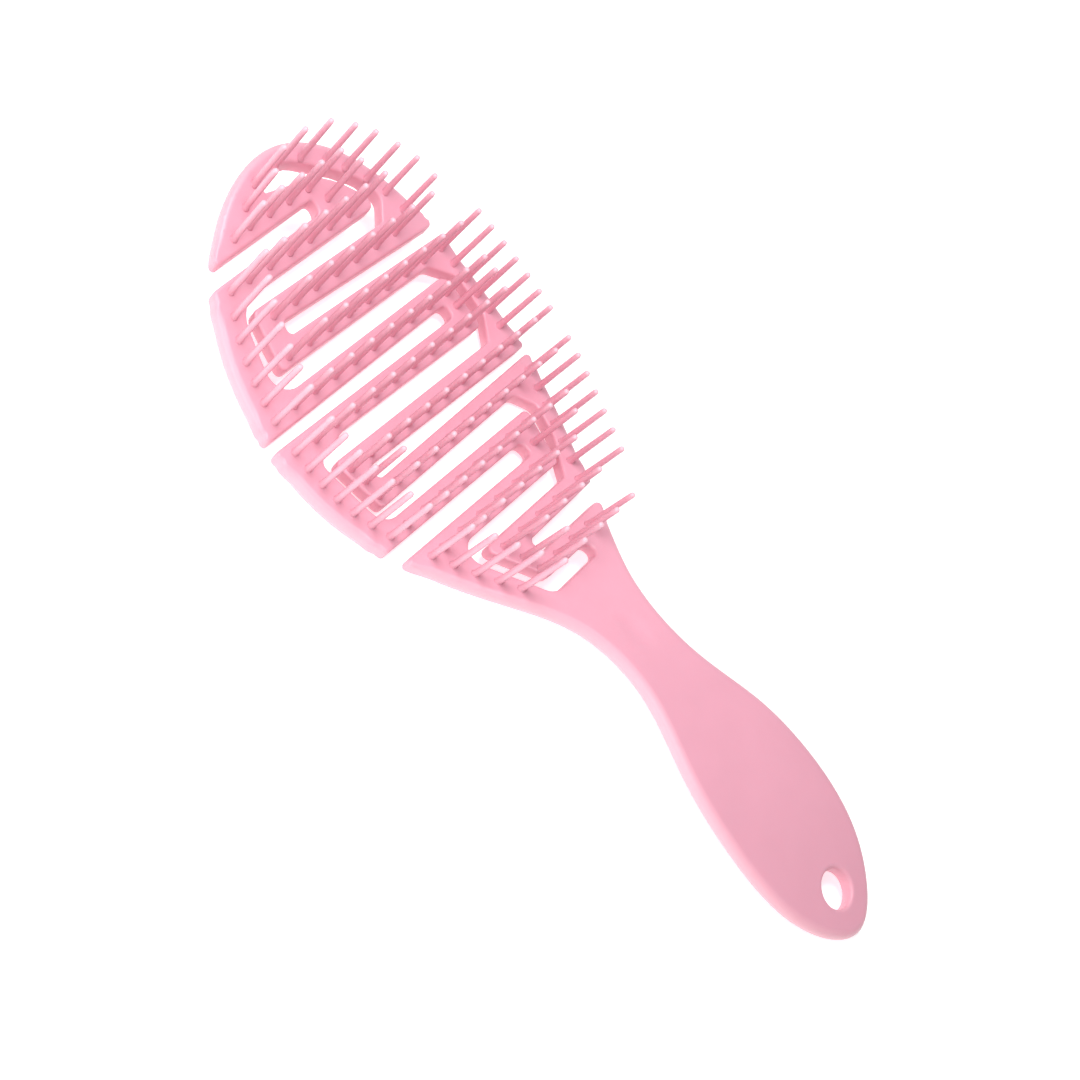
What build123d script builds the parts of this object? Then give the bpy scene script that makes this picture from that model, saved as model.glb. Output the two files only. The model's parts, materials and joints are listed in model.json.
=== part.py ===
# One-piece vented detangling hair brush, resting on its back: pins up (+Z), tip along +Y.
# A thin curved plate is cut by short side cuts and one long meander slot into two interlocked
# combs. Each comb is a springy zigzag of slats, rails and return bends, so the head flexes.
# The moulding is divided at those flexures into its members, which meet face to face.
# The sizes below count y from the handle's end. The finished members are moved half the length
# down Y, so that the origin is under the middle of the brush, in the plane that it rests on.
# Millimetres.
import math
import os

from build123d import *

# Side profile of the plate: three tangent arcs, measured on the pin side.
THICKNESS = 4.4
HEAD_RADIUS = 162.0
NECK_RADIUS = 203.0
HANDLE_RADIUS = 400.0
BELLY_Y = 160.7  # where the curved back of the head rests on the table
NECK_SLOPE = 12.8  # degrees, where head and neck arcs meet
GRIP_SLOPE = 1.5  # degrees, where neck and handle arcs meet

# Plan outline: (y, half width) from the handle's end to the tip.
LENGTH = 240.0
OUTLINE = [
    (10.0, 13.0), (27.0, 19.1), (42.0, 19.6), (61.0, 16.7), (80.0, 10.9), (90.0, 9.8), (105.0, 12.2),
    (120.0, 20.3), (140.0, 31.5), (160.0, 39.7), (178.0, 42.0), (200.0, 40.0), (220.0, 32.2),
    (230.0, 23.9), (237.6, 11.8),
]

# Hang hole through the handle, square to the surface, with softened mouths.
HOLE_Y = 12.8
HOLE_RADIUS = 5.0
HOLE_MOUTH = 0.9

# Side cuts: closed end x, open end x, then (low y, high y) at the closed and at the open end.
CUTS = {
    "l1": (7.2, -50.0, (221.8, 225.5), (219.6, 223.4)),
    "l2": (27.4, -50.0, (183.3, 187.1), (183.1, 185.5)),
    "l3": (18.1, -50.0, (143.9, 148.0), (144.6, 148.6)),
    "r1": (-19.0, 50.0, (202.6, 206.2), (201.7, 204.5)),
    "r2": (-22.7, 50.0, (163.2, 167.1), (164.8, 166.3)),
    "r3": (-2.5, 50.0, (124.3, 128.3), (124.4, 129.2)),
}
CUT_END_RADIUS = 1.6
# From each cut's closed end to the middle of the slot beyond its bend.
BEND_REACH = {"l1": 14.5, "l2": 7.4, "l3": 8.2, "r1": 9.2, "r2": 8.0, "r3": 9.5}

# The meander slot: corner points (x, y, corner radius), round the whole slot.
# It starts at the window in the cap and weaves down to the last leg above the handle.
MEANDER = [
    (-7.0, 232.2, 0.5), (11.0, 229.3, 12.0), (17.0, 225.6, 20.0), (23.4, 219.4, 1.0),
    (23.8, 216.2, 1.4), (-27.1, 215.1, 8.0), (-32.3, 192.2, 5.5), (33.4, 193.1, 3.4),
    (33.5, 177.3, 1.5), (-22.0, 177.7, 10.0), (-33.1, 174.9, 2.5), (-30.3, 154.0, 5.0),
    (27.5, 153.7, 1.5), (22.6, 138.0, 1.4), (-21.4, 138.3, 4.5), (-9.4, 114.7, 4.5),
    (9.2, 114.7, 1.8), (9.2, 118.6, 1.8), (-7.0, 118.7, 1.5), (-14.6, 134.2, 1.7),
    (20.3, 134.2, 1.4), (27.6, 143.6, 10.0), (30.6, 152.5, 3.0), (27.2, 158.2, 2.4),
    (-27.7, 157.4, 1.6), (-30.1, 172.9, 1.6), (31.8, 172.9, 1.5), (36.4, 179.5, 4.0),
    (36.3, 191.0, 4.5), (29.8, 197.0, 3.5), (-26.9, 196.7, 1.7), (-25.2, 211.9, 1.6),
    (23.6, 212.1, 1.0), (27.4, 217.3, 2.5), (24.0, 223.3, 8.0), (17.8, 228.0, 15.0),
    (3.5, 236.2, 9.0),
]

# Flexure lines: each return bend is parted just above the low edge of its cut.
FLEX_OFFSET = 0.55
FLEX_GAP = 0.4
OPEN_PIVOT_GAP = 0.9  # the bend at cut r1 closes the loop, so it has room to move

# Pins: slender tapered rods with rounded tips, all parallel and leaning a little to the handle.
PIN_LENGTH = 20.2
TOP_PIN_LENGTHS = {"pins_cap_rim": 17.4, "pins_slat_01": 18.6, "pin_bend_l1": 18.8}
PIN_BASE_RADIUS = 0.88
PIN_TIP_RADIUS = 0.77
PIN_LEAN = 2.2  # degrees
PIN_ROOT = 1.5  # depth of the rod below the surface before it is trimmed
# Rows along the slats: y, first x, last x, number of pins.
SLAT_ROWS = {
    "slat_01": (227.8, -14.3, 7.0, 4),
    "slat_02": (218.2, -21.7, 15.1, 6),
    "slat_03": (208.5, -20.6, 25.6, 7),
    "slat_04": (199.0, -23.1, 29.1, 8),
    "slat_05": (189.2, -29.7, 29.7, 9),
    "slat_06": (180.0, -30.5, 29.3, 9),
    "slat_07": (169.5, -27.6, 31.0, 9),
    "slat_08": (160.4, -26.4, 29.8, 9),
    "slat_09": (150.9, -25.8, 23.2, 8),
    "slat_10": (141.1, -22.7, 14.8, 6),
    "slat_11": (131.4, -9.6, 12.8, 4),
    "slat_12": (121.5, -7.1, 13.6, 4),
}
# Rows along the rails: side, first y, last y, number of pins.
RAIL_ROWS = {
    "left_shoulder": (-1, 121.2, 141.3, 5),
    "left_rail_lower": (-1, 151.2, 180.5, 7),
    "left_rail_upper": (-1, 188.9, 218.2, 7),
    "right_rail_lower": (1, 131.4, 160.8, 7),
    "right_rail_upper": (1, 169.5, 198.9, 7),
}
RAIL_INSET = {-1: 4.6, 1: 3.7}  # from the rim to the row, square to the rim
CAP_ROW = [
    (31.8, 211.9), (29.3, 217.6), (25.5, 222.5), (20.6, 227.4), (15.5, 231.0), (8.8, 234.4),
    (0.4, 235.7), (-7.7, 234.8), (-13.0, 231.6), (-20.1, 227.3),
]
BEND_PINS = {"l1": (11.3, 223.7), "l2": (30.2, 185.1), "l3": (21.0, 145.9), "r2": (-26.6, 165.1),
             "r3": (-8.0, 126.3)}

# Where slats and rails part: x of each slat's joint with its rail, and where the two slats or
# bends of one rail are told apart.
LEFT_SHOULDER_X, LEFT_SHOULDER_Y = -19.0, 136.0
RAIL_SPANS = [  # rail, a plan point on it, y between its two slats, then upper and lower slat
    ("left_rail_lower", (-38, 165), 165, ("slat_06", "bend_l2_lower", -31, "l2"),
     ("slat_09", "bend_l3_upper", -28, "l3")),
    ("left_rail_upper", (-38, 203), 203, ("slat_02", "bend_l1_lower", -27, "l1"),
     ("slat_05", "bend_l2_upper", -29, "l2")),
    ("right_rail_lower", (34, 156), 147, ("slat_08", "bend_r2_lower", 28, "r2"),
     ("slat_11", "bend_r3_upper", 21, "r3")),
    ("right_rail_upper", (39, 185), 185, ("slat_04", "bend_r1_lower", 31, "r1"),
     ("slat_07", "bend_r2_upper", 33, "r2")),
]
SLAT_01_X, SLAT_01_Y = (-8.0, 30.0), 215.0  # ends of the window's slat, and below it
SLAT_03_X, SLAT_03_Y = 24.0, (200.0, 214.0)

WIDE = 60.0  # half width of the cutting blocks
TALL = 90.0


def profile_points():
    """Centres and joints of the three arcs, in (y, z)."""
    slope, grip = math.radians(NECK_SLOPE), math.radians(GRIP_SLOPE)
    head = (BELLY_Y, HEAD_RADIUS + THICKNESS)
    join = (head[0] - HEAD_RADIUS * math.sin(slope), head[1] - HEAD_RADIUS * math.cos(slope))
    neck = (join[0] - NECK_RADIUS * math.sin(slope), join[1] - NECK_RADIUS * math.cos(slope))
    crest = (neck[0] - NECK_RADIUS * math.sin(grip), neck[1] + NECK_RADIUS * math.cos(grip))
    grip_centre = (crest[0] + HANDLE_RADIUS * math.sin(grip), crest[1] - HANDLE_RADIUS * math.cos(grip))
    return head, join, neck, crest, grip_centre


HEAD, JOIN, NECK, CREST, GRIP = profile_points()


def surface_z(y, depth=0.0):
    """Height of the pin-side surface at y, or of the surface that lies depth below it."""
    if y > JOIN[0]:
        radius = HEAD_RADIUS + depth
        return HEAD[1] - math.sqrt(radius**2 - (y - HEAD[0]) ** 2)
    centre, radius = (NECK, NECK_RADIUS) if y > CREST[0] else (GRIP, HANDLE_RADIUS)
    return centre[1] + math.sqrt((radius - depth) ** 2 - (y - centre[0]) ** 2)


def surface_curve(depth=0.0, ends=(-2.0, LENGTH + 2.0)):
    """The side view of the surface at a depth, from the handle's end to the tip."""
    marks = [ends[0], CREST[0], JOIN[0], ends[1]]
    arcs = []
    for low, high in zip(marks[:-1], marks[1:]):
        spots = [(y, surface_z(y, depth)) for y in (low + 1e-6, (low + high) / 2, high - 1e-6)]
        arcs.append(spots)
    for left, right in zip(arcs[:-1], arcs[1:]):
        right[0] = left[2]
    return [ThreePointArc(*spots) for spots in arcs]


def side_block(upper, lower):
    """A block across the full width between two side-view curves."""
    ends = [Line(lower[0] @ 0, upper[0] @ 0), Line(upper[-1] @ 1, lower[-1] @ 1)]
    return extrude(Plane.YZ * make_face([*upper, *lower, *ends]), WIDE, both=True)


def outline_curve():
    """The whole plan outline, anticlockwise from the handle's end, symmetric about x = 0."""
    right = [(half, y) for y, half in OUTLINE]
    left = [(-half, y) for y, half in reversed(OUTLINE)]
    return Spline((0.0, 0.0), *right, (0.0, LENGTH), *left, periodic=True)


def place_at(y):
    """Where the outline's right side passes y, as a share of its whole length, by bisection."""
    low, high = 0.0, 0.5
    for _ in range(40):
        middle = (low + high) / 2
        low, high = (middle, high) if (RIM @ middle).Y < y else (low, middle)
    return low


def half_width(y):
    return (RIM @ place_at(y)).X


def block(x0, x1, y0, y1):
    return Pos((x0 + x1) / 2, (y0 + y1) / 2, 0) * Box(x1 - x0, y1 - y0, 2 * TALL)


def upright(face):
    return extrude(face, TALL, both=True)


def cut_face(closed_x, open_x, closed_ys, open_ys):
    """Plan of a side cut, round at its closed end."""
    corners = [(open_x, open_ys[0]), (closed_x, closed_ys[0]), (closed_x, closed_ys[1]),
               (open_x, open_ys[1])]
    return make_face(FilletPolyline(*corners, radius=[0, CUT_END_RADIUS, CUT_END_RADIUS, 0], close=True))


def meander_face():
    corners = [(x, y) for x, y, _ in MEANDER]
    radii = [radius for _, _, radius in MEANDER]
    return make_face(FilletPolyline(*corners, radius=radii, close=True))


def piece_at(shape, x, y):
    """The solid of a shape that lies under the plan point (x, y)."""
    spot = Vector(x, y, surface_z(y) - THICKNESS / 2)
    return next(solid for solid in shape.solids() if solid.is_inside(spot))


def flex_y(name):
    return CUTS[name][2][0] + FLEX_OFFSET


RIM = outline_curve()


def hang_hole():
    """The cutter for the hang hole, with its two softened mouths."""
    lean = math.degrees(math.atan2(HOLE_Y - GRIP[0], HANDLE_RADIUS))
    middle = Pos(0, HOLE_Y, surface_z(HOLE_Y) - THICKNESS / 2) * Rot(-lean, 0, 0)
    hole = Cylinder(HOLE_RADIUS, 3 * THICKNESS)
    reach = 2 * HOLE_MOUTH
    wide = HOLE_RADIUS + reach
    hole += Pos(0, 0, THICKNESS / 2) * Cone(HOLE_RADIUS, wide, reach)
    hole += Pos(0, 0, -THICKNESS / 2) * Cone(wide, HOLE_RADIUS, reach)
    return middle * hole


def cut_plate():
    """The plate with its side cuts, meander slot and flexure gaps: six separate bodies."""
    plan = make_face(RIM.edge()) - meander_face()
    for name, (closed_x, open_x, closed_ys, open_ys) in CUTS.items():
        plan -= cut_face(closed_x, open_x, closed_ys, open_ys)
        away = 1 if closed_x > open_x else -1
        gap = OPEN_PIVOT_GAP if name == "r1" else FLEX_GAP
        neck_end = closed_x + away * BEND_REACH[name]
        x0, x1 = sorted((closed_x - away * 0.5, neck_end))
        plan -= Pos((x0 + x1) / 2, flex_y(name)) * Rectangle(x1 - x0, gap)
    side = side_block(surface_curve(), surface_curve(THICKNESS))
    return (upright(plan) & side) - hang_hole()


def members():
    """Every member of the moulding by name, divided where slats, bends and rails meet."""
    head = cut_plate()
    ends = {name: cut[0] + (-CUT_END_RADIUS if cut[0] > cut[1] else CUT_END_RADIUS)
            for name, cut in CUTS.items()}
    found = {}

    root = piece_at(head, 0, 50)
    shoulder_y = MEANDER[15][1]
    found["handle"] = root & block(-WIDE, WIDE, -10, shoulder_y)
    above = root & block(-WIDE, WIDE, shoulder_y, LENGTH)
    left, right = piece_at(above, -22, 130), piece_at(above, 14, 121)
    found["left_shoulder"] = left & block(-WIDE, LEFT_SHOULDER_X, 0, LENGTH)
    found["slat_10"] = left & block(LEFT_SHOULDER_X, ends["l3"], LEFT_SHOULDER_Y, LENGTH)
    found["bend_l3_lower"] = left & block(ends["l3"], WIDE, 0, LENGTH)
    low_left = left & block(LEFT_SHOULDER_X, WIDE, 0, LEFT_SHOULDER_Y)
    found["left_shoulder"] = (found["left_shoulder"] + low_left).clean()
    found["bend_r3_lower"] = right & block(-WIDE, ends["r3"], 0, LENGTH)
    leg_end_x, leg_middle_y = MEANDER[16][0], (MEANDER[16][1] + MEANDER[17][1]) / 2
    found["slat_12"] = right & block(ends["r3"], leg_end_x, leg_middle_y, LENGTH)
    found["right_shoulder"] = right & block(ends["r3"], WIDE, 0, LENGTH) - found["slat_12"]

    for rail, spot, middle, high, low in RAIL_SPANS:
        body = piece_at(head, *spot)
        rest = body
        for (slat, bend, rail_x, cut), y0, y1 in ((high, middle, LENGTH), (low, 0, middle)):
            bar_x = sorted((rail_x, ends[cut]))
            bend_x = sorted((ends[cut], math.copysign(WIDE, -rail_x)))
            found[slat] = body & block(*bar_x, y0, y1)
            found[bend] = body & block(*bend_x, y0, y1)
            rest = rest - block(*sorted((rail_x, math.copysign(WIDE, -rail_x))), y0, y1)
        found[rail] = rest

    cap = piece_at(head, -20, 229)
    first = piece_at(cap & block(*SLAT_01_X, SLAT_01_Y, MEANDER[0][1]), 0, SLAT_ROWS["slat_01"][0])
    third = piece_at(cap & block(-WIDE, SLAT_03_X, *SLAT_03_Y), 0, SLAT_ROWS["slat_03"][0])
    found["slat_01"] = first & block(SLAT_01_X[0], ends["l1"], 0, LENGTH)
    found["bend_l1_upper"] = first & block(ends["l1"], WIDE, 0, LENGTH)
    found["slat_03"] = third & block(ends["r1"], SLAT_03_X, 0, LENGTH)
    found["bend_r1_upper"] = third & block(-WIDE, ends["r1"], 0, LENGTH)
    found["cap_rim"] = cap - first - third
    return found


def pin(length):
    """One pin standing on the origin, with its root below and its tip rounded."""
    neck_z = length - PIN_TIP_RADIUS
    arc = RadiusArc((PIN_TIP_RADIUS, neck_z), (0, length), -PIN_TIP_RADIUS)
    side = Polyline((0, length), (0, -PIN_ROOT), (PIN_BASE_RADIUS, -PIN_ROOT), (PIN_TIP_RADIUS, neck_z))
    return Rot(PIN_LEAN, 0, 0) * revolve(Plane.XZ * make_face([side, arc]), Axis.Z)


def rail_spots(side, y0, y1, count):
    """Plan points of a row that follows the rim."""
    spots = []
    for index in range(count):
        y = y0 + (y1 - y0) * index / (count - 1)
        lean = half_width(y + 0.5) - half_width(y - 0.5)
        spots.append((side * (half_width(y) - RAIL_INSET[side] * math.hypot(1, lean)), y))
    return spots


def pin_groups():
    """Plan points of every group of pins by node name."""
    groups = {}
    for slat, (y, first, last, count) in SLAT_ROWS.items():
        groups[f"pins_{slat}"] = [(first + (last - first) * i / (count - 1), y) for i in range(count)]
    for rail, row in RAIL_ROWS.items():
        groups[f"pins_{rail}"] = rail_spots(*row)
    groups["pins_cap_rim"] = CAP_ROW
    for cut, spot in BEND_PINS.items():
        groups[f"pin_bend_{cut}"] = [spot]
    return groups


def standing_pins(spots, length, open_air):
    """A group of pins trimmed by the plate's surface, so that they stand on it."""
    return [(Pos(x, y, surface_z(y)) * pin(length)) & open_air for x, y in spots]


def write(name, shape):
    export_step(Pos(0, -LENGTH / 2, 0) * shape, f"parts/{name}.step")


def main():
    os.makedirs("parts", exist_ok=True)
    for name, shape in members().items():
        write(name, shape)
    open_air = side_block([Line((-2, TALL), (LENGTH + 2, TALL))], surface_curve())
    for name, spots in pin_groups().items():
        length = TOP_PIN_LENGTHS.get(name, PIN_LENGTH)
        write(name, Compound(standing_pins(spots, length, open_air)))


main()
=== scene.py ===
# A one-piece vented detangling hair brush, lying on its back with its pins up.
import json
import math

import bmesh
import bpy
import numpy as np
from mathutils import Matrix, Vector


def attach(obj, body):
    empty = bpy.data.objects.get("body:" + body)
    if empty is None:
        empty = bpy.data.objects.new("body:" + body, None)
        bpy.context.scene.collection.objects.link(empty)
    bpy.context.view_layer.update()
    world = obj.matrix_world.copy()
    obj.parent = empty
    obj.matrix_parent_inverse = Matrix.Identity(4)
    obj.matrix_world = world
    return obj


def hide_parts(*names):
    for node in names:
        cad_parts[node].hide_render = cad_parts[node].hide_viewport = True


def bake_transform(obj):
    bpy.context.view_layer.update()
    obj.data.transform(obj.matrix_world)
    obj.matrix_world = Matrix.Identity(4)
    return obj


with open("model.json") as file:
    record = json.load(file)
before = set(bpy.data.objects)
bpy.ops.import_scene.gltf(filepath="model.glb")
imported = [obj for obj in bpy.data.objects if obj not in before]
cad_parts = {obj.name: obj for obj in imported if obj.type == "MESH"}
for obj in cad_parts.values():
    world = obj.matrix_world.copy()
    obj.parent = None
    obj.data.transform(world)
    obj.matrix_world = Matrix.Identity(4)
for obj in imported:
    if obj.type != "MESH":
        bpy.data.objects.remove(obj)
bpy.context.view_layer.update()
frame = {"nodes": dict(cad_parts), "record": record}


# ---- The moulded plate -------------------------------------------------------------------
# A thin bowed plate of soft-gloss plastic with a slim handle. The rim is rounded over to a
# full bead, and a hang hole with soft mouths goes through the handle. Sizes are in
# millimetres, with y from the handle's end; the finished plate moves back by MIDDLE_Y.
MM = 0.001
THICKNESS = 4.4
HEAD_RADIUS, NECK_RADIUS, HANDLE_RADIUS = 162.0, 203.0, 400.0
BELLY_Y = 160.7
NECK_SLOPE, GRIP_SLOPE = math.radians(12.8), math.radians(1.5)
LENGTH = 240.0
MIDDLE_Y = LENGTH / 2
OUTLINE = [  # y and half width, from the handle's end to the tip
    (10.0, 13.0), (27.0, 19.1), (42.0, 19.6), (61.0, 16.7), (80.0, 10.9), (90.0, 9.8),
    (105.0, 12.2), (120.0, 20.3), (140.0, 31.5), (160.0, 39.7), (178.0, 42.0), (200.0, 40.0),
    (220.0, 32.2), (230.0, 23.9), (237.6, 11.8),
]
HOLE_Y, HOLE_RADIUS = 12.8, 5.0
RIM_BEAD, CORNER_BEAD, SLOT_BEAD, HOLE_BEAD = 2.0, 0.85, 0.7, 1.1
BEAD_RUN_OUT = 6.0  # along the rim, from a corner's small rounding to the full bead
RIM_STEP = 0.8

head_centre = Vector((BELLY_Y, HEAD_RADIUS + THICKNESS))
join = head_centre - HEAD_RADIUS * Vector((math.sin(NECK_SLOPE), math.cos(NECK_SLOPE)))
neck_centre = join - NECK_RADIUS * Vector((math.sin(NECK_SLOPE), math.cos(NECK_SLOPE)))
crest = neck_centre + NECK_RADIUS * Vector((-math.sin(GRIP_SLOPE), math.cos(GRIP_SLOPE)))
handle_centre = crest - HANDLE_RADIUS * Vector((-math.sin(GRIP_SLOPE), math.cos(GRIP_SLOPE)))


def surface_z(y, depth=0.0):
    """Height of the pin side at y, or of the surface that lies depth below it."""
    if y > join.x:
        return head_centre.y - math.sqrt((HEAD_RADIUS + depth) ** 2 - (y - head_centre.x) ** 2)
    centre, radius = (neck_centre, NECK_RADIUS) if y > crest.x else (handle_centre, HANDLE_RADIUS)
    return centre.y + math.sqrt((radius - depth) ** 2 - (y - centre.x) ** 2)


def smooth_outline(spots):
    """Points RIM_STEP apart on a closed cubic spline through the spots."""
    p = np.array(spots)
    after = np.roll(p, -1, 0)
    span = np.linalg.norm(after - p, axis=1)
    slope = (after - p) / span[:, None]
    count = len(p)
    system = np.zeros((count, count))
    for i in range(count):
        system[i, i - 1] += span[i - 1]
        system[i, i] += 2 * (span[i - 1] + span[i])
        system[i, (i + 1) % count] += span[i]
    curving = np.linalg.solve(system, 6 * (slope - np.roll(slope, 1, 0)))
    points = []
    for i in range(count):
        j, h = (i + 1) % count, span[i]
        steps = math.ceil(h / RIM_STEP)
        for k in range(steps):
            t = h * k / steps
            s = h - t
            points.append((curving[i] * s**3 + curving[j] * t**3) / (6 * h)
                          + (p[i] / h - curving[i] * h / 6) * s
                          + (p[j] / h - curving[j] * h / 6) * t)
    return points


right_side = [(half, y) for y, half in OUTLINE]
left_side = [(-half, y) for y, half in reversed(OUTLINE)]
rim = [(x, y, 0.0, RIM_BEAD)  # x, y, radius of the corner in plan, radius of the rounded edge
       for x, y in smooth_outline([(0.0, 0.0), *right_side, (0.0, LENGTH), *left_side])]
HOLE_SPOTS = 48
hang_hole = [(HOLE_RADIUS * math.cos(2 * math.pi * k / HOLE_SPOTS),
              HOLE_Y - HOLE_RADIUS * math.sin(2 * math.pi * k / HOLE_SPOTS), 0.0, HOLE_BEAD)
             for k in range(HOLE_SPOTS)]

# ---- The side cuts and the meander slot ---------------------------------------------------
# Six short cuts come in from the rim, and one long slot winds between them, so the head is
# two interlocked springy combs. Each cut ends at a return bend, where the comb flexes.
CUTS = {  # closed end x, open end x, (low y, high y) at the closed and at the open end
    "l1": (7.2, -50.0, (221.8, 225.5), (219.6, 223.4)),
    "l2": (27.4, -50.0, (183.3, 187.1), (183.1, 185.5)),
    "l3": (18.1, -50.0, (143.9, 148.0), (144.6, 148.6)),
    "r1": (-19.0, 50.0, (202.6, 206.2), (201.7, 204.5)),
    "r2": (-22.7, 50.0, (163.2, 167.1), (164.8, 166.3)),
    "r3": (-2.5, 50.0, (124.3, 128.3), (124.4, 129.2)),
}
CUT_END_RADIUS = 1.6
RIM_CORNER_RADIUS = 1.2
CORNER_CLEAR = 3.4  # the smooth rim stops this far from a corner, to leave room for its rounding
MEANDER = [  # x, y and corner radius round the whole slot, from the window in the cap
    (-7.0, 232.2, 0.5), (11.0, 229.3, 12.0), (17.0, 225.6, 20.0), (23.4, 219.4, 1.0),
    (23.8, 216.2, 1.4), (-27.1, 215.1, 8.0), (-32.3, 192.2, 5.5), (33.4, 193.1, 3.4),
    (33.5, 177.3, 1.5), (-22.0, 177.7, 10.0), (-33.1, 174.9, 2.5), (-30.3, 154.0, 5.0),
    (27.5, 153.7, 1.5), (22.6, 138.0, 1.4), (-21.4, 138.3, 4.5), (-9.4, 114.7, 4.5),
    (9.2, 114.7, 1.8), (9.2, 118.6, 1.8), (-7.0, 118.7, 1.5), (-14.6, 134.2, 1.7),
    (20.3, 134.2, 1.4), (27.6, 143.6, 10.0), (30.6, 152.5, 3.0), (27.2, 158.2, 2.4),
    (-27.7, 157.4, 1.6), (-30.1, 172.9, 1.6), (31.8, 172.9, 1.5), (36.4, 179.5, 4.0),
    (36.3, 191.0, 4.5), (29.8, 197.0, 3.5), (-26.9, 196.7, 1.7), (-25.2, 211.9, 1.6),
    (23.6, 212.1, 1.0), (27.4, 217.3, 2.5), (24.0, 223.3, 8.0), (17.8, 228.0, 15.0),
    (3.5, 236.2, 9.0),
]
ARC_STEP = math.radians(14.0)
LOOP_STEP = 1.6


def let_in(loop, closed_x, open_x, closed_ys, open_ys):
    """The rim with one side cut's path let into it."""
    def edge_y(which, x):
        share = (x - closed_x) / (open_x - closed_x)
        return closed_ys[which] + (open_ys[which] - closed_ys[which]) * share

    def inside(spot):
        return spot[0] * open_x > 0 and edge_y(0, spot[0]) < spot[1] < edge_y(1, spot[0])

    def crossing(outer, inner, which):
        gaps = [spot[1] - edge_y(which, spot[0]) for spot in (outer, inner)]
        share = gaps[0] / (gaps[0] - gaps[1])
        return tuple(a + (b - a) * share for a, b in zip(outer[:2], inner[:2]))

    hit = [i for i, spot in enumerate(loop) if inside(spot)]
    first, last = hit[0], hit[-1]
    enter, leave = (0, 1) if open_x > 0 else (1, 0)
    way_in = crossing(loop[first - 1], loop[first], enter)
    way_out = crossing(loop[last + 1], loop[last], leave)
    before = [s for s in loop[:first] if math.dist(s[:2], way_in) > CORNER_CLEAR]
    after = [s for s in loop[last + 1:] if math.dist(s[:2], way_out) > CORNER_CLEAR]
    path = [(*way_in, RIM_CORNER_RADIUS, CORNER_BEAD),
            (closed_x, closed_ys[enter], CUT_END_RADIUS, SLOT_BEAD),
            (closed_x, closed_ys[leave], CUT_END_RADIUS, SLOT_BEAD),
            (*way_out, RIM_CORNER_RADIUS, CORNER_BEAD)]
    return before + path + after


def rounded(corners):
    """The closed loop with an arc at each corner that has a radius, and no long steps."""
    points = []
    for before, here, after in zip(corners[-1:] + corners[:-1], corners, corners[1:] + corners[:1]):
        middle, radius = Vector(here[:2]), here[2]
        if radius == 0.0:
            points.append((*middle, here[3]))
            continue
        back = (Vector(before[:2]) - middle).normalized()
        ahead = (Vector(after[:2]) - middle).normalized()
        half = back.angle(ahead) / 2
        centre = middle + (back + ahead).normalized() * radius / math.sin(half)
        start = middle + back * radius / math.tan(half) - centre
        end = middle + ahead * radius / math.tan(half) - centre
        turn = -start.angle_signed(end)
        steps = max(2, math.ceil(abs(turn) / ARC_STEP))
        for k in range(steps + 1):
            spoke = Matrix.Rotation(turn * k / steps, 2) @ start
            points.append((*(centre + spoke), here[3]))
    filled = []
    for here, after in zip(points, points[1:] + points[:1]):
        steps = max(1, math.ceil(math.dist(here[:2], after[:2]) / LOOP_STEP))
        filled += [tuple(a + (b - a) * k / steps for a, b in zip(here, after))
                   for k in range(steps)]
    return filled


def run_out(loop):
    """The loop with its rounding growing along the rim from each corner to the full bead."""
    count = len(loop)
    steps = [math.dist(loop[i][:2], loop[i - 1][:2]) for i in range(count)]
    away = [0.0 if spot[2] < RIM_BEAD else math.inf for spot in loop]
    for _ in range(2):
        for i in range(count):
            away[i] = min(away[i], away[i - 1] + steps[i])
        for i in reversed(range(count)):
            away[i] = min(away[i], away[(i + 1) % count] + steps[(i + 1) % count])
    full = []
    for (x, y, bead), far in zip(loop, away):
        share = min(1.0, far / BEAD_RUN_OUT)
        share = share * share * (3 - 2 * share)
        full.append((x, y, bead if far == 0.0 else CORNER_BEAD + (RIM_BEAD - CORNER_BEAD) * share))
    return full


for cut in CUTS.values():
    rim = let_in(rim, *cut)
slot = [(*spot, SLOT_BEAD) for spot in MEANDER]
loops = [run_out(rounded(rim)), rounded(slot), rounded(hang_hole)]

# ---- The plate's solid ---------------------------------------------------------------------
# Its section is one bead after another: every rim and slot edge is rounded over, top and
# bottom, as the mould leaves it. The flat sheet is then bowed to the side profile.
BEAD_ANGLES = [math.radians(a) for a in (90.0, 67.5, 45.0, 22.5, 0.0)]
FLAT_MARGIN = 0.25  # a narrow ring on the flat beside each bead keeps the flat evenly lit
SHARPEST_MITRE = 0.7  # limits how far a ring's corner spreads at a sharp turn
BOW_STEP = 2.5
SLICE_SLACK = 1e-7  # metres; corners nearer to a slice than this count as on it
spots, inward = [], []
for loop in loops:
    clockwise = sum(a[0] * b[1] - b[0] * a[1] for a, b in zip(loop, loop[1:] + loop[:1])) < 0
    side = -1.0 if clockwise == (loop is loops[0]) else 1.0
    for before, here, after in zip(loop[-1:] + loop[:-1], loop, loop[1:] + loop[:1]):
        ways = [(Vector(b[:2]) - Vector(a[:2])).normalized()
                for a, b in ((before, here), (here, after))]
        along = (ways[0] + ways[1]).normalized()
        spots.append(here)
        inward.append(along.orthogonal() * side / max(SHARPEST_MITRE, ways[0].dot(along)))

plate = bmesh.new()
spot_of = plate.verts.layers.int.new("spot")
# Painted light: this layer holds how much paler each corner is painted, most at the outer edge of
# the full rim bead, for light shining through the thin edges.
painted_glow_share_of = plate.verts.layers.float.new("bead")
first_ring, start = [], 0
for loop in loops:
    verts = [plate.verts.new((x * MM, y * MM, 0.0)) for x, y, _ in loop]
    for number, vert in enumerate(verts):
        vert[spot_of] = start + number
    first_ring += [plate.edges.new(pair) for pair in zip(verts, verts[1:] + verts[:1])]
    start += len(loop)


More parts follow.
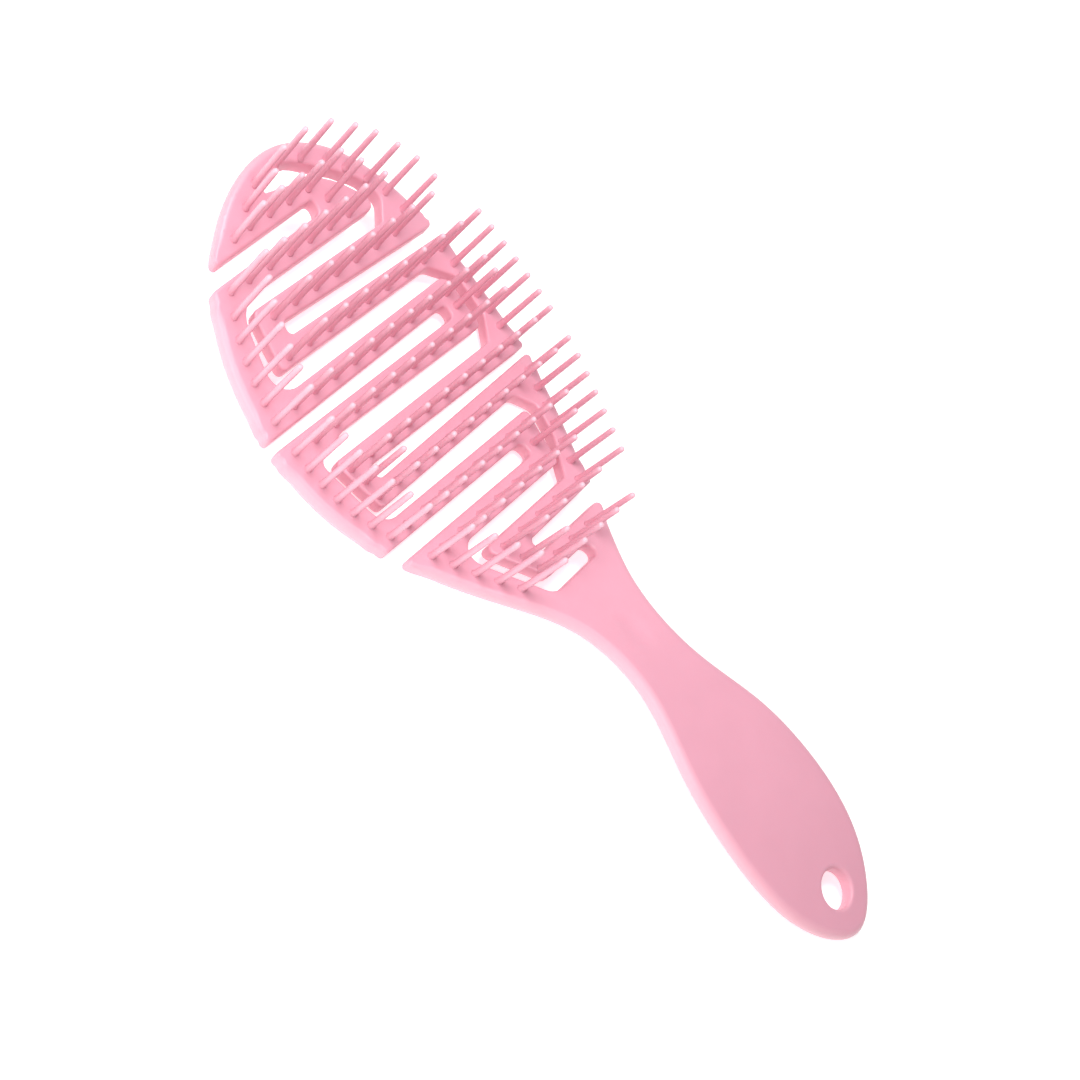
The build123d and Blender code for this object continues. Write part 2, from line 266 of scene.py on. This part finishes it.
def section():
    """Inset share and height of each ring round the edge, from the flat below to the one above."""
    for angle in BEAD_ANGLES:
        yield 1 - math.cos(angle), lambda bead, a=angle: THICKNESS - bead * (1 - math.sin(a))
    for angle in reversed(BEAD_ANGLES):
        yield 1 - math.cos(angle), lambda bead, a=angle: bead * (1 - math.sin(a))


def set_ring(verts, inset, margin, depth_for):
    """Move one ring in from the edge by its share of the bead, and down to its depth."""
    for vert in verts:
        x, y, bead = spots[vert[spot_of]]
        place = Vector((x, y)) + inward[vert[spot_of]] * (inset * bead + margin)
        vert.co = (place.x * MM, place.y * MM, -depth_for(bead) * MM)
        # Painted light: the bead's rings get a share of paler paint, largest at the edge of the
        # full rim bead; the flat's margin rings get none.
        vert[painted_glow_share_of] = (1 - inset) * bead / RIM_BEAD if margin == 0.0 else 0.0


rings = list(section())
rings = [(*rings[0], FLAT_MARGIN)] + [(*ring, 0.0) for ring in rings] + [(*rings[-1], FLAT_MARGIN)]
ring = first_ring
for number, (inset, depth_for, margin) in enumerate(rings):
    if number:
        grown = bmesh.ops.extrude_edge_only(plate, edges=ring)["geom"]
        fresh = {item for item in grown if isinstance(item, bmesh.types.BMVert)}
        ring = [item for item in grown if isinstance(item, bmesh.types.BMEdge)
                and item.verts[0] in fresh and item.verts[1] in fresh]
    else:
        fresh = {vert for edge in ring for vert in edge.verts}
    set_ring(fresh, inset, margin, depth_for)
for edges in (first_ring, ring):
    bmesh.ops.triangle_fill(plate, use_beauty=True, use_dissolve=False, edges=edges)
bmesh.ops.recalc_face_normals(plate, faces=plate.faces[:])


def slice_faces(faces, place, normal):
    """Cut new edges into the faces where a plane crosses them."""
    parts = list(faces)
    parts += dict.fromkeys(edge for face in faces for edge in face.edges)
    parts += dict.fromkeys(vert for face in faces for vert in face.verts)
    bmesh.ops.bisect_plane(plate, geom=parts, dist=SLICE_SLACK, plane_co=place, plane_no=normal)


bow_lines = [BOW_STEP * k for k in range(1, int(LENGTH / BOW_STEP))]
bow_lines += [y for cut in CUTS.values() for y in cut[2]]
for y in bow_lines:
    slice_faces(plate.faces[:], (0, y * MM, 0), (0, 1, 0))

# ---- Thumb hollow and the soft end of the last slot ----------------------------------------
# A faint oval hollow lies on the neck, where a thumb rests, and the surface sinks a little
# round the blind end of the slot's last leg. Both are only tenths of a millimetre deep.
HOLLOWS = [  # middle x, y, half length across, half length along, depth
    (0.0, 95.0, 4.6, 8.0, 0.35),
    (8.6, 116.8, 3.8, 3.6, 0.45),
]
HOLLOW_GRID = 0.8
HOLLOW_MARGIN = Vector((6.0, 2.0))  # the grid reaches this far past a hollow, across and along
FACING_UP = 0.9  # least upward part of the normal of a face on the pin side's flat
for x, y, across, along, depth in HOLLOWS:
    for axis, middle, half in ((0, x, across), (1, y, along)):
        normal = Vector((1 - axis, axis, 0))
        lines = [middle + HOLLOW_GRID * k for k in range(-int(half / HOLLOW_GRID) - 1,
                                                         int(half / HOLLOW_GRID) + 2)]
        for line in lines:
            near = [face for face in plate.faces if face.normal.z > FACING_UP
                    and abs(face.calc_center_median().x / MM - x) < across + HOLLOW_MARGIN.x
                    and abs(face.calc_center_median().y / MM - y) < along + HOLLOW_MARGIN.y]
            slice_faces(near, normal * line * MM, normal)
    for vert in plate.verts:
        far = math.hypot((vert.co.x / MM - x) / across, (vert.co.y / MM - y) / along)
        if far < 1 and vert.co.z > -THICKNESS / 2 * MM:
            vert.co.z -= depth * MM * (0.5 + 0.5 * math.cos(math.pi * far))

for vert in plate.verts:
    vert.co.z = surface_z(vert.co.y / MM, -vert.co.z / MM) * MM
    vert.co.y -= MIDDLE_Y * MM

# ---- The plate divided into what moves together --------------------------------------------
# Handle and shoulders are one body. Each comb is two more, the cap joins the two combs, and
# five of the six return bends are pieces of their own between their neighbours. The sixth bend is
# left open.
# Each bend reaches from its cut's closed end to the middle of the slot beyond it.
BEND_REACH = {"l1": 14.5, "l2": 7.4, "l3": 8.2, "r1": 9.2, "r2": 8.0, "r3": 9.5}
OPEN_BEND = "r1"
OPEN_BEND_Y = 203.15  # where the cap's half of the open bend ends and the right comb's starts
BEND_BODIES = {  # the body below the bend, and the body above it
    "l3": ("grip", "left_lower"), "l2": ("left_lower", "left_upper"), "l1": ("left_upper", "cap"),
    "r3": ("grip", "right_lower"), "r2": ("right_lower", "right_upper"),
}
PLATES = {  # piece, a plan point on it, and the CAD nodes that it stands for
    "grip": ("handle_and_shoulders", (0.0, 60.0),
             ["handle", "left_shoulder", "right_shoulder", "slat_10", "slat_12"]),
    "left_lower": ("left_comb_lower", (-38.0, 165.0), ["left_rail_lower", "slat_06", "slat_09"]),
    "left_upper": ("left_comb_upper", (-37.0, 203.0), ["left_rail_upper", "slat_02", "slat_05"]),
    "cap": ("cap_and_top_slats", (-20.0, 229.0),
            ["cap_rim", "slat_01", "slat_03", "bend_r1_upper"]),
    "right_lower": ("right_comb_lower", (34.0, 156.0), ["right_rail_lower", "slat_08", "slat_11"]),
    "right_upper": ("right_comb_upper", (38.6, 185.0),
                    ["right_rail_upper", "slat_04", "slat_07", "bend_r1_lower"]),
}
x0, x1 = sorted((CUTS[OPEN_BEND][0] + CUT_END_RADIUS, CUTS[OPEN_BEND][0] - BEND_REACH[OPEN_BEND]))


def within(face, low_x, high_x, low_y, high_y):
    middle = face.calc_center_median() / MM
    return low_x < middle.x < high_x and low_y < middle.y + MIDDLE_Y < high_y


bend_ys = CUTS[OPEN_BEND][2]
slice_faces([face for face in plate.faces if within(face, x0, x1, *bend_ys)],
            (0, (OPEN_BEND_Y - MIDDLE_Y) * MM, 0), (0, 1, 0))
share_of = plate.faces.layers.int.new("share")
BEND_NAMES = list(BEND_BODIES)
for number, name in enumerate(BEND_NAMES, 1):
    closed_x, open_x, ys = CUTS[name][:3]
    away = 1 if closed_x > open_x else -1
    window = sorted((closed_x - away * CUT_END_RADIUS, closed_x + away * BEND_REACH[name]))
    for face in plate.faces:
        if within(face, *window, *ys):
            face[share_of] = number


def parted(face, other):
    """True where two neighbouring faces belong to different bodies at the open bend."""
    if not (within(face, x0, x1, *bend_ys) or within(other, x0, x1, *bend_ys)):
        return False
    ys = [f.calc_center_median().y / MM + MIDDLE_Y - OPEN_BEND_Y for f in (face, other)]
    return ys[0] * ys[1] < 0


for number, (piece, spot, _) in enumerate(PLATES.values(), len(BEND_NAMES) + 1):
    target = Vector(spot) - Vector((0, MIDDLE_Y))
    seed = min((f for f in plate.faces if f[share_of] == 0 and f.normal.z > FACING_UP),
               key=lambda f: (f.calc_center_median().xy / MM - target).length)
    seed[share_of] = number
    front = [seed]
    while front:
        face = front.pop()
        for edge in face.edges:
            for other in edge.link_faces:
                if other[share_of] == 0 and not parted(face, other):
                    other[share_of] = number
                    front.append(other)


def share_piece(name, number):
    """One share of the plate as its own closed object, capped where it was parted."""
    part = plate.copy()
    layer = part.faces.layers.int["share"]
    others = [face for face in part.faces if face[layer] != number]
    bmesh.ops.delete(part, geom=others, context="FACES")
    for face in part.faces:
        face.smooth = True
    ends = [edge for edge in part.edges if edge.is_boundary]
    for edge in ends:
        edge.smooth = False
    bmesh.ops.holes_fill(part, edges=ends, sides=0)
    bmesh.ops.recalc_face_normals(part, faces=part.faces[:])
    mesh = bpy.data.meshes.new(name)
    part.to_mesh(mesh)
    part.free()
    piece = bpy.data.objects.new(name, mesh)
    bpy.context.scene.collection.objects.link(piece)
    return piece


plate_pieces = []
for number, (body, (name, _, stands_for)) in enumerate(PLATES.items(), len(BEND_NAMES) + 1):
    piece = share_piece(name, number)
    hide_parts(*stands_for)
    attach(piece, body)
    plate_pieces.append(piece)
for number, name in enumerate(BEND_NAMES, 1):
    piece = share_piece("return_bend_" + name, number)
    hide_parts(f"bend_{name}_lower", f"bend_{name}_upper")
    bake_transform(piece)
    plate_pieces.append(piece)

# ---- Its plastic -----------------------------------------------------------------------------
# Satin polypropylene coloured through in a light pink. Its thin rounded edges are painted paler:
# painted light, for the light that shines through them. The mould leaves a fine even grain and
# slow changes in the gloss.
# Painted light: the second colour is the paler pink painted on the rounded edges, for the light
# that shines through them.
PINK, PAINTED_EDGE_GLOW_PINK, PLATE_CLOUDING = (0.78, 0.36, 0.46), (0.88, 0.46, 0.54), 0.03


def moulded_plastic(name, colour, painted_glow_colour, clouding):
    """Pink plastic: slow colour clouding, rounded edges and tips painted paler (painted light),
    fine grain in the gloss and surface.
    """
    material = bpy.data.materials.new(name)
    material.use_nodes = True
    tree = material.node_tree
    surface = tree.nodes["Principled BSDF"]

    def node(kind, **inputs):
        made = tree.nodes.new(kind)
        for key, value in inputs.items():
            made.inputs[key.replace("_", " ")].default_value = value
        return made

    place = tree.nodes.new("ShaderNodeTexCoord").outputs["Object"]
    cloud = node("ShaderNodeTexNoise", Scale=45.0, Detail=3.0)
    tree.links.new(place, cloud.inputs["Vector"])
    tone = tree.nodes.new("ShaderNodeValToRGB")
    tone.color_ramp.elements[0].position, tone.color_ramp.elements[1].position = 0.3, 0.7
    tone.color_ramp.elements[0].color = (*[c * (1 - clouding) for c in colour], 1)
    tone.color_ramp.elements[1].color = (*[min(1.0, c * (1 + clouding)) for c in colour], 1)
    tree.links.new(cloud.outputs["Fac"], tone.inputs["Fac"])
    # Painted light: the 'bead' attribute mixes the paler colour into the rounded edges and the pin
    # tips.
    bead = tree.nodes.new("ShaderNodeAttribute")
    bead.attribute_name = "bead"
    edge = tree.nodes.new("ShaderNodeMix")
    edge.data_type = "RGBA"
    edge.inputs["B"].default_value = (*painted_glow_colour, 1)
    tree.links.new(bead.outputs["Fac"], edge.inputs["Factor"])
    tree.links.new(tone.outputs["Color"], edge.inputs["A"])
    tree.links.new(edge.outputs["Result"], surface.inputs["Base Color"])
    gloss = node("ShaderNodeTexNoise", Scale=60.0, Detail=2.0)
    tree.links.new(place, gloss.inputs["Vector"])
    spread = node("ShaderNodeMapRange", From_Min=0.3, From_Max=0.7, To_Min=0.37, To_Max=0.42)
    tree.links.new(gloss.outputs["Fac"], spread.inputs["Value"])
    tree.links.new(spread.outputs["Result"], surface.inputs["Roughness"])
    grain = node("ShaderNodeTexNoise", Scale=2600.0, Detail=2.0)
    tree.links.new(place, grain.inputs["Vector"])
    relief = node("ShaderNodeBump", Strength=0.12, Distance=0.00004)
    tree.links.new(grain.outputs["Fac"], relief.inputs["Height"])
    tree.links.new(relief.outputs["Normal"], surface.inputs["Normal"])
    surface.inputs["Subsurface Weight"].default_value = 0.12
    surface.inputs["Subsurface Radius"].default_value = (1.0, 0.45, 0.5)
    surface.inputs["Subsurface Scale"].default_value = 0.0012
    surface.inputs["IOR"].default_value = 1.49
    return material


plate_plastic = moulded_plastic("satin_pink_plate_painted_edge_light", PINK, PAINTED_EDGE_GLOW_PINK, PLATE_CLOUDING)
for piece in plate_pieces:
    piece.data.materials.append(plate_plastic)

# ---- The pins --------------------------------------------------------------------------------
# About 130 slender pins stand in rows on the slats and along the rails, and lean a little to
# the handle. Each tapers from a small flared foot to a rounded tip. The pins are painted a paler
# pink than the plate and their tips paler still: painted light, for the light they catch and let
# through.
PIN_LENGTH = 20.2
TOP_PIN_LENGTHS = {"pins_cap_rim": 17.4, "pins_slat_01": 18.6, "pin_bend_l1": 18.8}
PIN_LEAN = math.radians(2.2)  # towards the handle
PIN_FOOT = [(1.22, -0.5), (1.06, 0.2), (0.93, 0.75), (0.88, 1.9)]  # radius, height on the plate
# Painted light: the pin's end is painted paler over this length, for the highlight at the tip and
# the light coming through it.
PIN_PAINTED_GLOW_REACH = 3.0  # light comes through this much of the pin's end
PIN_TIP = [  # radius, depth below the top
    (0.78, PIN_PAINTED_GLOW_REACH), (0.77, 0.78), (0.68, 0.36), (0.4, 0.07), (0.0, 0.0),
]
PIN_SIDES = 8
# Painted light: the pins are the plate's plastic but painted a paler pink, for the light they
# catch; their tips are painted paler still, for the highlight and the light through them.
PIN_PAINTED_LIT_PINK, PIN_TIP_PAINTED_GLOW_PINK, PIN_CLOUDING = (0.84, 0.42, 0.515), (0.88, 0.50, 0.585), 0.02
WELD = 1e-6  # metres; corners nearer than this are one corner


def pin_mesh(length):
    """One pin on the origin, spun from its section and leaned."""
    pin = bmesh.new()
    painted_glow_share_of = pin.verts.layers.float.new("bead")
    section = [(0.0, PIN_FOOT[0][1]), *PIN_FOOT]
    section += [(radius, length - depth) for radius, depth in PIN_TIP]
    chain = [pin.verts.new((radius * MM, 0, height * MM)) for radius, height in section]
    chain_edges = [pin.edges.new(pair) for pair in zip(chain[:-1], chain[1:])]
    bmesh.ops.spin(pin, geom=chain + chain_edges, axis=(0, 0, 1), cent=(0, 0, 0), steps=PIN_SIDES,
                   angle=2 * math.pi, use_merge=True)
    bmesh.ops.remove_doubles(pin, verts=pin.verts[:], dist=WELD)
    bmesh.ops.recalc_face_normals(pin, faces=pin.faces[:])
    for vert in pin.verts:
        # Painted light: the last stretch of the pin is painted paler towards its tip.
        vert[painted_glow_share_of] = max(0.0, 1 - (length - vert.co.z / MM) / PIN_PAINTED_GLOW_REACH)
    bmesh.ops.rotate(pin, verts=pin.verts[:], cent=(0, 0, 0),
                     matrix=Matrix.Rotation(PIN_LEAN, 3, "X"))
    for face in pin.faces:
        face.smooth = True
    mesh = bpy.data.meshes.new("pin")
    pin.to_mesh(mesh)
    pin.free()
    return mesh


def pin_tips(node):
    """The tip of every pin in a CAD node: the highest corner of each of its islands."""
    copy = bmesh.new()
    copy.from_mesh(frame["nodes"][node].data)
    bmesh.ops.remove_doubles(copy, verts=copy.verts[:], dist=WELD)
    left, tips = set(copy.verts), []
    for first in copy.verts:
        if first not in left:
            continue
        left.discard(first)
        front, island = [first], [first]
        while front:
            for edge in front.pop().link_edges:
                for vert in edge.verts:
                    if vert in left:
                        left.discard(vert)
                        front.append(vert)
                        island.append(vert)
        tips.append(max(island, key=lambda v: v.co.z).co.copy())
    copy.free()
    return tips


pin_plastic = moulded_plastic("satin_pink_pins_painted_light", PIN_PAINTED_LIT_PINK, PIN_TIP_PAINTED_GLOW_PINK, PIN_CLOUDING)
for body, nodes in frame["record"]["behaviour"]["bodies"].items():
    for node in nodes:
        if not node.startswith("pin"):
            continue
        row = bmesh.new()
        length = TOP_PIN_LENGTHS.get(node, PIN_LENGTH)
        one_pin = pin_mesh(length)
        rise = Vector((0, -math.sin(PIN_LEAN), math.cos(PIN_LEAN))) * length * MM
        for tip in pin_tips(node):
            old = set(row.verts)
            row.from_mesh(one_pin)
            bmesh.ops.translate(row, vec=tip - rise, verts=[v for v in row.verts if v not in old])
        mesh = bpy.data.meshes.new("row_of_" + node)
        row.to_mesh(mesh)
        row.free()
        mesh.materials.append(pin_plastic)
        piece = bpy.data.objects.new("row_of_" + node, mesh)
        bpy.context.scene.collection.objects.link(piece)
        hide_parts(node)
        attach(piece, body)

# ---- Floor, light and camera -------------------------------------------------------------------
# A plain white table that glows a little, so that shadows stay faint. One soft lamp stands to
# the left of the brush and one over its head, in even white surroundings. (Metres.)
FLOOR_HALF = 3.0
FLOOR_DROP = 0.0005  # the table lies this far under the brush, so that they don't touch
KEY_PLACE, KEY_AIM, KEY_SIZE, KEY_WATTS = (-0.42, 0.12, 0.32), (0, 0.04, 0), 0.3, 1.15
TOP_PLACE, TOP_AIM, TOP_SIZE, TOP_WATTS = (-0.03, 0.11, 0.38), (0, 0.07, 0), 0.15, 1.05
floor = bmesh.new()
bmesh.ops.create_grid(floor, x_segments=1, y_segments=1, size=FLOOR_HALF)
floor_mesh = bpy.data.meshes.new("table")
floor.to_mesh(floor_mesh)
floor.free()
table = bpy.data.objects.new("table", floor_mesh)
bpy.context.scene.collection.objects.link(table)
table.location = (0, 0, -FLOOR_DROP)
paper = bpy.data.materials.new("white_paper")
paper.use_nodes = True
sheet = paper.node_tree.nodes["Principled BSDF"]
sheet.inputs["Base Color"].default_value = (0.95, 0.95, 0.945, 1)
sheet.inputs["Roughness"].default_value = 0.9
sheet.inputs["Emission Color"].default_value = (1, 1, 1, 1)
sheet.inputs["Emission Strength"].default_value = 0.45
floor_mesh.materials.append(paper)

world = bpy.data.worlds.new("studio")
bpy.context.scene.world = world
world.use_nodes = True
surroundings = world.node_tree.nodes["Background"]
surroundings.inputs["Color"].default_value = (1, 1, 1, 1)
surroundings.inputs["Strength"].default_value = 0.46


def lamp(name, place, aim, size, watts):
    light = bpy.data.lights.new(name, "AREA")
    light.shape, light.size, light.energy = "DISK", size, watts
    made = bpy.data.objects.new(name, light)
    made.location = place
    made.rotation_euler = (Vector(aim) - Vector(place)).to_track_quat("-Z", "Y").to_euler()
    made.visible_camera = False
    bpy.context.scene.collection.objects.link(made)


lamp("key", KEY_PLACE, KEY_AIM, KEY_SIZE, KEY_WATTS)
lamp("top", TOP_PLACE, TOP_AIM, TOP_SIZE, TOP_WATTS)

CAMERA_PLACE = (-0.3032, 0.0283, 0.3778)
CAMERA_AXES = ((0.5690, -0.6505, 0.5035), (0.5255, 0.7578, 0.3860), (-0.633, 0.0452, 0.7735))
view = bpy.data.cameras.new("view")
view.lens, view.sensor_width = 65.0, 36.0
camera = bpy.data.objects.new("view", view)
turn = Matrix(CAMERA_AXES).transposed().to_4x4()
camera.matrix_world = Matrix.Translation(CAMERA_PLACE) @ turn
bpy.context.scene.collection.objects.link(camera)
bpy.context.scene.camera = camera
bpy.context.scene.view_settings.view_transform = "Standard"
